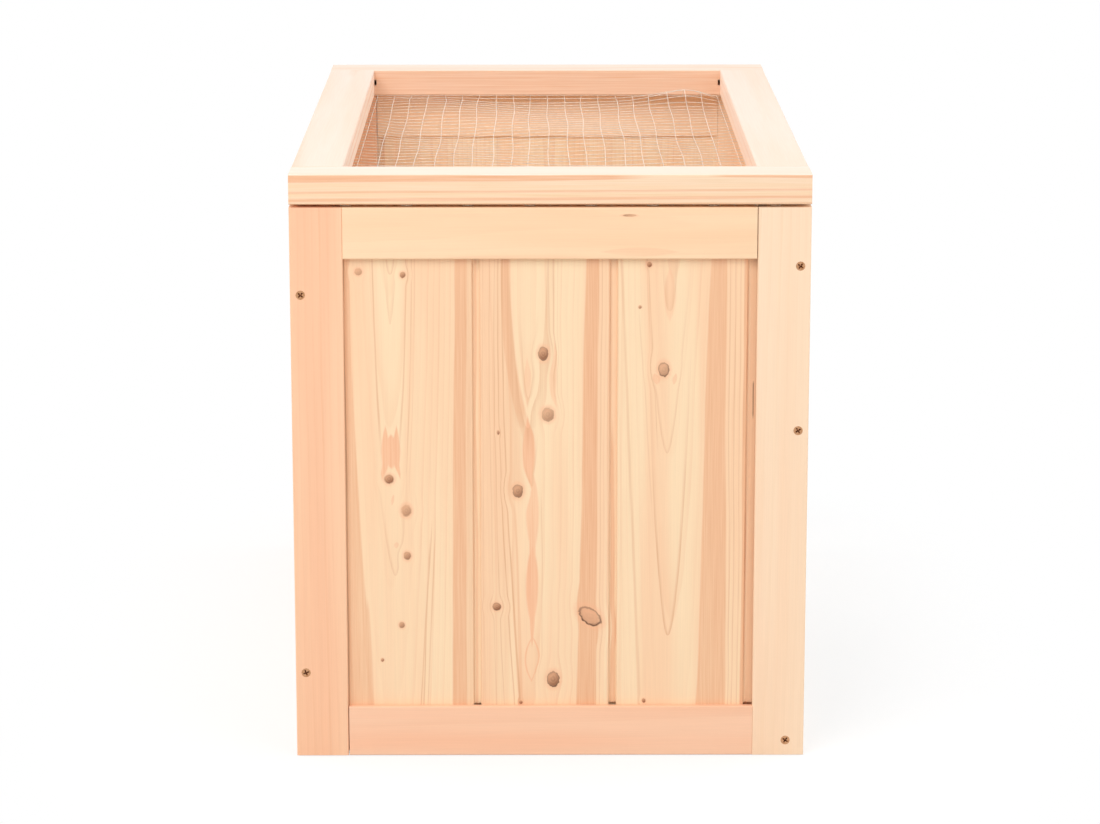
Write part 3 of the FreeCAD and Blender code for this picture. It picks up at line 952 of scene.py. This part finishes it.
    right_board: Cut = Cut(
        Tint.HONEY,
        pith_across=-12.0,
        pith_deep=-36.0,
        climb=0.025,
        ring=4.4,
        phase=0.97,
        wander=0.9,
        contrast=0.32,
        seed=9.0,
        knots=(
            Knot(95.2, 491.5, 4.5, 5.0, 1.0),
            Knot(86.4, 449.9, 3.0, 3.0, 0.8),
            Knot(109.7, 388.5, 10.0, 13.5, 0.55, 0.85),
            Knot(92.2, 54.0, 3.5, 4.5, 1.0),
        ),
        streaks=(
            Streak((64.0, 66.2), (64.0, 66.2), 0.3, soft=0.8),
            Streak((68.2, 70.6), (68.0, 70.4), 0.2),
            Streak((154.6, 169.6), (143.4, 172.0), 0.76),
            Streak((186.8, 190.4), (186.8, 190.4), 0.95, soft=0.8),
            Streak((192.6, 205.0), (192.6, 205.0), 0.5),
        ),
        lines=(
            Streak((67.0, 69.4), (87.4, 89.8), 0.36, soft=1.0),
            Line((92.0, 93.0), (104.0, 105.0), 0.4, span=(300.0, 515.0)),
            Streak((84.5, 85.6), (100.0, 101.1), 0.26, span=(230.0, 450.0), soft=0.6),
            Line((172.4, 173.4), (174.4, 175.4), 0.42),
            Line((178.2, 179.2), (178.0, 179.0), 0.4),
            Line((183.2, 184.2), (183.2, 184.2), 0.36),
        ),
        arches=(
            Arch(114.6, 446.0, 10.0, 70.0, 0.34, thick=5.0),
            Arch(113.0, 305.0, 15.0, 200.0, 0.4, point=0.6, thick=2.2),
            Arch(115.6, 121.0, 12.4, 300.0, 0.66, point=0.53, thick=2.6),
        ),
        flames=(
            Flame(114.6, 462.0, 13.0, 56.0, 0.36),
            Flame(104.4, 379.0, 7.0, 12.0, 0.5),
            Flame(118.0, 379.0, 6.0, 12.0, 0.5),
        ),
        # A thin crack in the shown tongue
        shadow_lines_and_cracks=(Streak((196.2, 197.2), (196.4, 197.4), 0.85, span=(338.0, 377.0), soft=0.3),),
    )
    top_rail: Cut = Cut(
        Tint.PEACH,
        pith_across=14.0,
        pith_deep=40.0,
        climb=0.02,
        ring=6.0,
        phase=0.4,
        wander=1.6,
        contrast=0.4,
        seed=14.0,
        knots=(Knot(540.4, 75.5, 2.2, 12.0, 0.6),),
        flames=(Flame(505.0, 86.0, 9.0, 78.0, 0.3), Flame(500.5, -30.0, 5.0, 150.0, 0.2)),
    )

    tongues: tuple[Pair, ...] = ((-75.0, -68.0), (57.6, 64.6), (190.3, 199.0))
    tongue_thick: float = 3.0
    tongue_end: float = 54.0
    torn_drops: tuple[float, ...] = (3.2, 2.3, 2.5)
    torn_fray: float = 0.5
    torn_fibres: int = 9

    def dress(self) -> None:
        """Gives each stick its own piece of wood, and each shown tongue its torn foot."""
        names = ("pith_across", "pith_deep", "ring", "climb", "contrast")
        back = dict(zip(names, (62.0, -24.0, 6.5, 0.012, 0.4)))
        front = dict(zip(names, (-48.0, -40.0, 6.0, 0.015, 0.5)))
        bottom = dict(zip(names, (30.0, 46.0, 8.0, 0.01, 0.25)))
        cuts = {
            "near_board_1": self.left_board,
            "near_board_2": self.middle_board,
            "near_board_3": self.right_board,
            "near_rail_top": self.top_rail,
            "near_stile_back": sawn("near_stile_back", Tint.BLUSH, **back),
            "near_stile_front": sawn("near_stile_front", Tint.PALE, **front),
            "near_rail_bottom": sawn("near_rail_bottom", Tint.ROSE, **bottom),
        }
        for node, cut in cuts.items():
            FIR.dress(node, cut)
        luck = random.Random("near_")
        for i, (tongue, drop) in enumerate(zip(self.tongues, self.torn_drops)):
            self._torn_foot(f"near_board_{i + 1}", tongue, drop, luck)

    def _torn_foot(self, board: str, tongue: Pair, drop: float, luck: random.Random) -> None:
        """Leaves torn fibres below the end of a shown tongue, in its own board's wood.

        Args:
            board: The board whose tongue it is.
            tongue: The shown tongue's left and right edges, in millimetres.
            drop: How far the fibres hang below the tongue.
            luck: Draws how far each fibre reaches beyond that.
        """
        low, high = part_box(board)
        left, right = tongue
        middle = (low.y + high.y) / 2 / MM
        shape = bmesh.new()
        bmesh.ops.create_grid(shape, x_segments=self.torn_fibres, y_segments=1, size=0.5)
        for vert in shape.verts:
            fray = luck.uniform(-1, 1) * self.torn_fray if vert.co.y < 0 else 0.0
            vert.co = Vector((vert.co.x * (right - left), 0.0, (vert.co.y - 0.5) * drop + fray))
        front = (left + right) / 2, middle - self.tongue_thick / 2, self.tongue_end
        bmesh.ops.translate(shape, verts=shape.verts, vec=front)
        back = new_verts(bmesh.ops.extrude_face_region(shape, geom=shape.faces[:]))
        bmesh.ops.translate(shape, verts=back, vec=(0.0, self.tongue_thick, 0.0))
        bmesh.ops.recalc_face_normals(shape, faces=shape.faces)
        to_metres(shape)
        made = piece_from(shape, board + "_torn_foot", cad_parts[board].data.materials[0])
        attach(made, "cage")
        LOG.info("left %s", made.name)


@dataclass
class BoardedWalls:
    """The far end panel and the boarded back wall, in the same fir as the near end."""

    far_boards: int = 3
    back_boards: int = 5
    knots: int = 5
    knots_reach: Pair = (-0.85, 0.35)
    frame_tints: tuple[Tint, ...] = (Tint.BLUSH, Tint.PALE, Tint.PALE, Tint.ROSE)

    def dress(self) -> None:
        """Gives every stick and board its own piece of wood."""
        walls = (("far", self.far_boards, Tint.CREAM), ("back", self.back_boards, Tint.HONEY))
        for wall, count, tint in walls:
            for i in range(count):
                node = f"{wall}_board_{i + 1}"
                FIR.dress(node, sawn(node, tint, self.knots, self.knots_reach))
        for wall, ends in (("far", ("back", "front")), ("back", ("near", "far"))):
            sticks = [f"stile_{end}" for end in ends] + ["rail_top", "rail_bottom"]
            for stick, tint in zip(sticks, self.frame_tints):
                node = f"{wall}_{stick}"
                FIR.dress(node, sawn(node, tint, contrast=0.5, ring=6.0))


@dataclass
class ClearFront:
    """The clear long side: a glazed frame above two sliding doors on a grooved sill."""

    window: tuple[str, ...] = ("stile_near", "stile_far", "rail_top", "rail_track")
    sill: str = "front_sill"
    tints: tuple[Tint, ...] = (Tint.PALE, Tint.CREAM)
    panes: tuple[str, ...] = ("window_pane", "door_near_pane", "door_far_pane")
    pulls: tuple[str, ...] = ("door_near_pull", "door_far_pull")

    def dress(self) -> None:
        """Gives the frame its wood and the panes their acrylic."""
        timber = [f"window_{stick}" for stick in self.window] + [self.sill]
        for i, node in enumerate(timber):
            tint = self.tints[i % len(self.tints)]
            knots = 0 if node == self.sill else 1
            FIR.dress(node, sawn(node, tint, knots, contrast=0.55, ring=6.0))
        for nodes, finish in ((self.panes, CLEAR_SHEET), (self.pulls, SANDED_PULL)):
            acrylic = finish.material()
            for node in nodes:
                wear(node, acrylic)


@dataclass
class Floor:
    """The floor board on its glued cleats."""

    panel: str = "floor_panel"
    cleats: tuple[str, ...] = ("floor_cleat_near", "floor_cleat_far", "floor_cleat_back")

    def dress(self) -> None:
        """Gives the board broad peeled figure, and the cleats plain wood."""
        figure = {"pith_deep": -150.0, "ring": 7.0, "climb": 0.03, "wander": 9.0, "contrast": 0.6}
        peeled = sawn(self.panel, Tint.CREAM, **figure)
        wear(self.panel, PLYWOOD.material("birch_plywood", Lie.of(self.panel), peeled))
        for node in self.cleats:
            FIR.dress(node, sawn(node, Tint.CREAM))


@dataclass
class WireMesh:
    """The welded mesh under the lid: lengthwise wires with cross wires on top, no longer flat.

    The frame holds the wires flat along its edge. Farther in they follow a long wave and a slanted
    short one, in millimetres, with one bulge, and each wire strays a little sideways.
    """

    long_count: int = 24
    cross_count: int = 41
    opening: Pair = (200.0, 352.67)
    held: float = 45.0
    step: float = 9.0
    sides: int = 6
    bare_share: float = 0.68
    bulge_at: Pair = (163.0, 330.0)
    bulge_rise: float = 16.0
    bulge_reach: float = 48.0
    ripple: float = 2.2
    ripple_sag: float = 0.7
    long_wave: Pair = (61.0, 83.0)
    long_phase: Pair = (0.8, -0.5)
    short_wave: Pair = (37.0, 52.0)
    short_share: float = 0.6
    stray: float = 1.3
    stray_share: float = 0.7
    stray_wave: float = 47.0
    stray_turns: Pair = (1.7, 0.9)

    def build(self) -> Piece:
        """Builds both layers as one piece that moves with the lid.

        Returns:
            The mesh of wires.
        """
        shape = bmesh.new()
        layers = (("long", 0, self.long_count), ("cross", 1, self.cross_count))
        for layer, lane, count in layers:
            low, high = (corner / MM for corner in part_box(f"mesh_{layer}_wires"))
            wire = high.z - low.z
            first, last = low[lane] + wire / 2, high[lane] - wire / 2
            for i in range(count):
                start, end = low.copy(), high.copy()
                start[lane] = end[lane] = first + (last - first) * i / (count - 1)
                start.z = end.z = (low.z + high.z) / 2
                self._wire(shape, start, end, wire * self.bare_share)
        to_metres(shape)
        bmesh.ops.recalc_face_normals(shape, faces=shape.faces)
        for face in shape.faces:
            face.smooth = len(face.verts) == 4
        made = piece_from(shape, "wire_mesh", GALVANISED.material())
        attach(made, "lid")
        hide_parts("mesh_long_wires", "mesh_cross_wires")
        return made

    def _wire(self, shape: Shape, start: Vector, end: Vector, thick: float) -> None:
        """Adds one wire, divided along its length and bent to the mesh's waves.

        Args:
            shape: The bmesh that takes it.
            start: Where the wire starts, in millimetres.
            end: Where it ends.
            thick: Its thickness.
        """
        run = end - start
        turn = run.to_track_quat("Z", "Y").to_matrix().to_4x4()
        wire = bmesh.new()
        bmesh.ops.create_cone(
            wire,
            cap_ends=True,
            segments=self.sides,
            radius1=thick / 2,
            radius2=thick / 2,
            depth=run.length,
            matrix=Matrix.Translation((start + end) / 2) @ turn,
        )
        sides = [edge for edge in wire.edges if edge.calc_length() > run.length / 2]
        bmesh.ops.subdivide_edges(wire, edges=sides, cuts=int(run.length / self.step))
        lengthwise = abs(run.y) > abs(run.x)
        for vert in wire.verts:
            vert.co += self._bend(vert.co, start, lengthwise)
        mesh = bpy.data.meshes.new("one_wire")
        wire.to_mesh(mesh)
        wire.free()
        shape.from_mesh(mesh)
        bpy.data.meshes.remove(mesh)

    def _bend(self, at: Vector, start: Vector, lengthwise: bool) -> Vector:
        """Says how far the mesh has moved from flat at one point.

        Args:
            at: The point on the flat mesh, in millimetres.
            start: The start of the wire it belongs to.
            lengthwise: Whether that wire runs along the cage.

        Returns:
            The move, in millimetres.
        """
        free = 1.0
        for value, edge in zip((at.x, at.y), self.opening):
            t = max(0.0, min(1.0, (edge - abs(value)) / self.held))
            free *= t * t * (3 - 2 * t)
        wave = math.sin(at.x / self.long_wave[0] + self.long_phase[0])
        wave *= math.cos(at.y / self.long_wave[1] + self.long_phase[1])
        wave += self.short_share * math.sin(at.x / self.short_wave[0] + at.y / self.short_wave[1])
        away = math.hypot(at.x - self.bulge_at[0], at.y - self.bulge_at[1]) / self.bulge_reach
        lift = free * self.ripple * (wave - self.ripple_sag)
        lift += math.sqrt(free) * self.bulge_rise * math.exp(-away * away)
        lane, run = (start.x, at.y) if lengthwise else (start.y, at.x)
        swing = math.sin(lane * self.stray_turns[0])
        swing += self.stray_share * math.sin(run / self.stray_wave + lane * self.stray_turns[1])
        aside = free * self.stray * swing
        return Vector((aside, 0.0, lift)) if lengthwise else Vector((0.0, aside, lift))


@dataclass
class Lid:
    """The mortised lid frame with its mesh and staples."""

    mesh: WireMesh = field(default_factory=WireMesh)
    front_axis: int = 1
    layers: Cut = Cut(
        Tint.LID,
        pith_across=-160.0,
        pith_deep=30.0,
        climb=0.004,
        ring=8.8,
        phase=0.2,
        wander=2.4,
        contrast=0.45,
    )
    # Partly the front face's warm stripe, partly painted shade: it lays the whole front darker than
    # the rail's top
    near_front_band_and_shade: Streak = Streak((540.0, 579.3), (540.0, 579.3), 0.4, soft=0.3)
    near_lines: tuple[Streak, ...] = (
        Streak((579.0, 579.3), (572.0, 579.3), 0.66, span=(-310.0, 100.0), bow=0.25, soft=0.4),
        Line((576.0, 579.3), (577.6, 579.3), 0.6, span=(150.0, 268.0)),
        Streak((564.4, 566.2), (561.6, 563.6), 0.5, soft=0.8),
        Streak((556.8, 559.6), (553.4, 556.4), 0.54),
        Streak((551.6, 552.8), (550.4, 551.4), 0.4, soft=0.6),
    )
    far_streaks: tuple[Streak, ...] = (
        Streak((540.0, 579.3), (540.0, 579.3), 0.55, soft=0.3),
        Streak((571.0, 573.0), (569.0, 571.5), 0.72, soft=0.8),
        Streak((560.0, 562.0), (559.0, 561.0), 0.68, soft=0.8),
    )

    def dress(self) -> None:
        """Gives the rails wood with straight stripes on their edges, and the mesh its wires."""
        flat = {"pith_across": 4.0, "pith_deep": -92.0, "ring": 9.4, "climb": 0.006, "wander": 0.8}
        near = replace(self.layers, tint=Tint.STRAW, seed=21.0)
        near = replace(near, streaks=(self.near_front_band_and_shade,), lines=self.near_lines)
        far = replace(self.layers, streaks=self.far_streaks, phase=0.6, seed=33.0)
        front = sawn("lid_rail_front", Tint.LID, **flat, contrast=0.3, seed=27.0)
        STRAIGHT_FIR.dress("lid_rail_near", near, self.front_axis)
        STRAIGHT_FIR.dress("lid_rail_far", far, self.front_axis)
        STRAIGHT_FIR.dress("lid_rail_front", front)
        STRAIGHT_FIR.dress("lid_rail_back", sawn("lid_rail_back", Tint.LID, **flat, contrast=0.6))
        wear("mesh_staples", DULL_ZINC.material())
        made = self.mesh.build()
        LOG.info("built %s with %d faces", made.name, len(made.data.polygons))


@dataclass
class CrossHeadScrew:
    """A countersunk wood screw with a cross recess, one size in millimetres.

    The recess is given in shares of the head's radius, and the rim as such shares and depths.
    """

    shank: float
    head: float
    length: float
    arm: float = 0.66
    slot: float = 0.16
    sink: float = 0.8
    narrow: float = 0.3
    flat: float = 0.96
    rim: tuple[Pair, ...] = ((1.0, -0.15), (0.98, -0.45))
    cone: float = 1.1
    straight: float = 0.88
    tip: float = 0.3
    sides: int = 24

    def shape(self) -> Shape:
        """Models the screw, its head's face at the origin and its point down the Z axis.

        Returns:
            The screw's bmesh, in millimetres.
        """
        made = bmesh.new()
        radius = self.head / 2
        wide, deep = radius * self.flat, 0.0
        bmesh.ops.create_circle(made, cap_ends=True, segments=self.sides, radius=wide)
        for reach in (self.arm, self.slot):
            for side in ((1, 0, 0), (-1, 0, 0), (0, 1, 0), (0, -1, 0)):
                whole = made.verts[:] + made.edges[:] + made.faces[:]
                point = Vector(side) * reach * radius
                bmesh.ops.bisect_plane(made, geom=whole, plane_co=point, plane_no=side)
        ring = [edge for edge in made.edges if edge.is_boundary]
        cross = [face for face in made.faces if self._in_cross(face.calc_center_median() / radius)]
        floor = new_verts(bmesh.ops.extrude_face_region(made, geom=cross))
        bmesh.ops.delete(made, geom=cross, context="FACES")
        bmesh.ops.translate(made, verts=floor, vec=(0, 0, -self.sink * radius))
        bmesh.ops.scale(made, verts=floor, vec=(self.narrow, self.narrow, 1.0))
        for reach, drop in self._profile(radius):
            grown = bmesh.ops.extrude_edge_only(made, edges=ring)
            verts = new_verts(grown)
            ring = [item for item in grown["geom"] if isinstance(item, bmesh.types.BMEdge)]
            bmesh.ops.scale(made, verts=verts, vec=(reach / wide, reach / wide, 1.0))
            bmesh.ops.translate(made, verts=verts, vec=(0, 0, drop - deep))
            wide, deep = reach, drop
        bmesh.ops.contextual_create(made, geom=ring)
        bmesh.ops.recalc_face_normals(made, faces=made.faces)
        return made

    def _in_cross(self, spot: Vector) -> bool:
        """Tells whether a spot on the head, in shares of its radius, lies in the cross recess."""
        near, far = sorted((abs(spot.x), abs(spot.y)))
        return near < self.slot and far < self.arm

    def _profile(self, radius: float) -> list[Pair]:
        """Lists radius and depth from the head's rim to the point.

        Args:
            radius: The head's radius.

        Returns:
            The pairs, in millimetres.
        """
        core = self.shank / 2
        return [
            *((radius * share, drop) for share, drop in self.rim),
            (core, -(radius - core) * self.cone),
            (core, -self.length * self.straight),
            (self.tip, -self.length),
        ]

    def driven(self, places: Places, name: str, metal: BareMetal, turn_seed: int) -> Piece:
        """Drives copies of the screw at several places, each cross turned its own way.

        Args:
            places: Where each head's face is, in millimetres, and the way that it faces.
            name: The piece's name.
            metal: The screw's finish.
            turn_seed: Seeds how the crosses stand.

        Returns:
            One piece that holds all the screws.
        """
        luck = random.Random(turn_seed)
        pattern = bpy.data.meshes.new(name + "_pattern")
        one = self.shape()
        one.to_mesh(pattern)
        one.free()
        made = bmesh.new()
        for point, facing in places:
            before = set(made.verts)
            made.from_mesh(pattern)
            fresh = [vert for vert in made.verts if vert not in before]
            spin = Matrix.Rotation(luck.uniform(0, math.pi / 2), 4, "Z")
            stand = facing.to_track_quat("Z", "Y").to_matrix().to_4x4()
            bmesh.ops.transform(made, matrix=Matrix.Translation(point) @ stand @ spin, verts=fresh)
        bpy.data.meshes.remove(pattern)
        to_metres(made)
        return piece_from(made, name, metal.material())


@dataclass
class EndScrews:
    """The screws that hold the end panels to the long sides."""

    screw: CrossHeadScrew = field(default_factory=lambda: CrossHeadScrew(4.5, 9.2, 50.0))
    face: float = 402.67
    sunk: float = 0.1
    places: tuple[Pair, ...] = ((-240, 85), (-240, 463), (240, 329), (240, 491), (232, 15))
    turn_seeds: tuple[int, int] = (3, 8)

    def build(self) -> None:
        """Drives five screws into each end."""
        for end, way, seed in zip(("near", "far"), (-1.0, 1.0), self.turn_seeds):
            facing = Vector((0.0, way, 0.0))
            level = way * (self.face - self.sunk)
            heads = [(Vector((x, level, z)), facing) for x, z in self.places]
            made = self.screw.driven(heads, f"{end}_end_cross_screws", YELLOW_ZINC, seed)
            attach(made, "cage")
            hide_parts(f"{end}_end_screws")
            LOG.info("drove %s", made.name)


@dataclass
class Hinges:
    """The two butt hinges at the back, with four screws in each."""

    ends: tuple[str, ...] = ("near", "far")
    parts: tuple[str, ...] = ("wall_leaf", "lid_leaf", "pin")
    screw: CrossHeadScrew = field(default_factory=lambda: CrossHeadScrew(3.0, 5.6, 15.0))
    screw_x: float = -240.3
    screw_ys: tuple[float, ...] = (-272.67, -232.67, 232.67, 272.67)
    wall_level: float = 549.2
    lid_level: float = 549.8
    sunk: float = 0.02
    turn_seeds: tuple[int, int] = (11, 12)

    def dress(self) -> None:
        """Gives the leaves and pins a bright zinc finish, and drives their screws."""
        steel = BRIGHT_ZINC.material()
        for end in self.ends:
            for part in self.parts:
                wear(f"hinge_{end}_{part}", steel)
        wall, lid = self.wall_level - self.sunk, self.lid_level + self.sunk
        sets = (("wall", "cage", wall, 1.0), ("lid", "lid", lid, -1.0))
        for (leaf, body, level, way), seed in zip(sets, self.turn_seeds):
            facing = Vector((0.0, 0.0, way))
            heads = [(Vector((self.screw_x, y, level)), facing) for y in self.screw_ys]
            made = self.screw.driven(heads, f"hinge_{leaf}_cross_screws", BRIGHT_ZINC, seed)
            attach(made, body)
            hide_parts(f"hinge_{leaf}_screws")
            LOG.info("drove %s", made.name)


@dataclass(frozen=True)
class Softbox:
    """A square lamp that looks at the cage, in metres and watts."""

    name: str
    place: Point
    size: float
    power: float
    aim: Point = (0.0, 0.0, 0.3)

    def hang(self) -> None:
        """Hangs the lamp."""
        data = bpy.data.lights.new(self.name, "AREA")
        data.size = self.size
        data.energy = self.power
        lamp = bpy.data.objects.new(self.name, data)
        lamp.location = self.place
        way = Vector(self.aim) - Vector(self.place)
        lamp.rotation_euler = way.to_track_quat("-Z", "Y").to_euler()
        bpy.context.scene.collection.objects.link(lamp)


@dataclass
class Studio:
    """A white floor and world, soft lamps and the camera."""

    eye: Point = (-0.0163, -3.8103, 1.1305)
    pitch: float = 12.935
    yaw: float = 0.269
    lens: float = 118.32
    sensor: float = 36.0
    sight: float = 100.0
    floor_half: float = 14.0
    floor_drop: float = 0.0006
    floor_lit: str = "#D8D8D8"
    floor_seen: str = "#FCFCFC"
    floor_rough: float = 0.9
    floor_gloss: float = 0.2
    sky: float = 0.52
    footprint: Pair = (0.25, 0.40)
    shadow_reach: float = 0.3
    shadow_share: float = 0.34
    lamps: tuple[Softbox, ...] = (
        Softbox("key_softbox", (-1.4, -2.7, 2.7), 2.2, 69.0),
        Softbox("fill_softbox", (2.4, -2.8, 2.4), 2.6, 24.0),
        Softbox("top_softbox", (0.9, 0.2, 3.1), 2.4, 13.0),
        Softbox("left_softbox", (-3.0, 0.6, 1.5), 2.0, 30.0),
        Softbox("right_softbox", (3.0, 0.6, 1.3), 2.0, 32.0),
    )

    def build(self) -> None:
        """Sets the stage, the lamps and the camera."""
        scene = bpy.context.scene
        scene.view_settings.view_transform = "Standard"
        self._world(scene)
        self._floor()
        for lamp in self.lamps:
            lamp.hang()
        camera = bpy.data.objects.new("camera", bpy.data.cameras.new("camera"))
        camera.location = self.eye
        camera.rotation_euler = (math.radians(90 - self.pitch), 0.0, math.radians(-self.yaw))
        camera.data.lens = self.lens
        camera.data.sensor_width = self.sensor
        camera.data.clip_end = self.sight
        scene.collection.objects.link(camera)
        scene.camera = camera

    def _world(self, scene: bpy.types.Scene) -> None:
        """Makes the world white where it is seen, and softer where it only lights.

        Args:
            scene: The scene that takes the world.
        """
        world = bpy.data.worlds.new("white_studio")
        world.use_nodes = True
        world.node_tree.nodes.clear()
        graph = Graph(world.node_tree)
        level = graph.ramp(self._seen(graph), (0.0, 1.0), (self.sky, 1.0))
        light = graph.put("Background", {"Color": WHITE, "Strength": level})
        graph.put("OutputWorld", {"Surface": light})
        scene.world = world

    def _seen(self, graph: Graph) -> Socket:
        """Tells rays that show a surface, straight or in gloss or glass, from rays that only light.

        Args:
            graph: The node tree that asks.

        Returns:
            One for a ray that shows, zero for one that lights.
        """
        path = graph.put("LightPath", {}).node.outputs
        seen = graph.calc("MAXIMUM", path["Is Camera Ray"], path["Is Glossy Ray"])
        return graph.calc("MAXIMUM", seen, path["Is Transmission Ray"])

    def _floor(self) -> None:
        """Lays a pale matt floor that keeps the cage's shadow and is plain white farther out."""
        shape = bmesh.new()
        bmesh.ops.create_grid(shape, x_segments=8, y_segments=8, size=self.floor_half)
        bmesh.ops.translate(shape, verts=shape.verts, vec=(0, 0, -self.floor_drop))
        made, graph = blank("white_paper_floor")
        seen = self._seen(graph)
        colour = graph.mix(seen, linear(self.floor_lit), linear(self.floor_seen))
        looks = {"Roughness": self.floor_rough, "Specular IOR Level": self.floor_gloss}
        shader = graph.put("BsdfPrincipled", {"Base Color": colour, **looks})
        folded = graph.vector("ABSOLUTE", graph.place())
        beyond = graph.vector("SUBTRACT", folded, (*self.footprint, 0.0))
        outside = graph.vector("MAXIMUM", beyond, (0.0, 0.0, 0.0))
        away = graph.vector("LENGTH", outside, out="Value")
        fade = graph.fade(away, (0.0, self.shadow_reach), (1.0 - self.shadow_share, 1.0))
        white = graph.put("Emission", {"Color": WHITE, "Strength": 1.0})
        graph.surface(graph.put("MixShader", {0: graph.times(fade, seen), 1: shader, 2: white}))
        piece_from(shape, "studio_floor", made)


def main() -> None:
    """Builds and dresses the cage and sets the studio."""
    logging.basicConfig(level=logging.INFO, format="%(message)s")
    NearPanel().dress()
    BoardedWalls().dress()
    ClearFront().dress()
    Floor().dress()
    Lid().dress()
    EndScrews().build()
    Hinges().dress()
    Studio().build()
    LOG.info("sizes written")


if __name__ == "__main__":
    main()
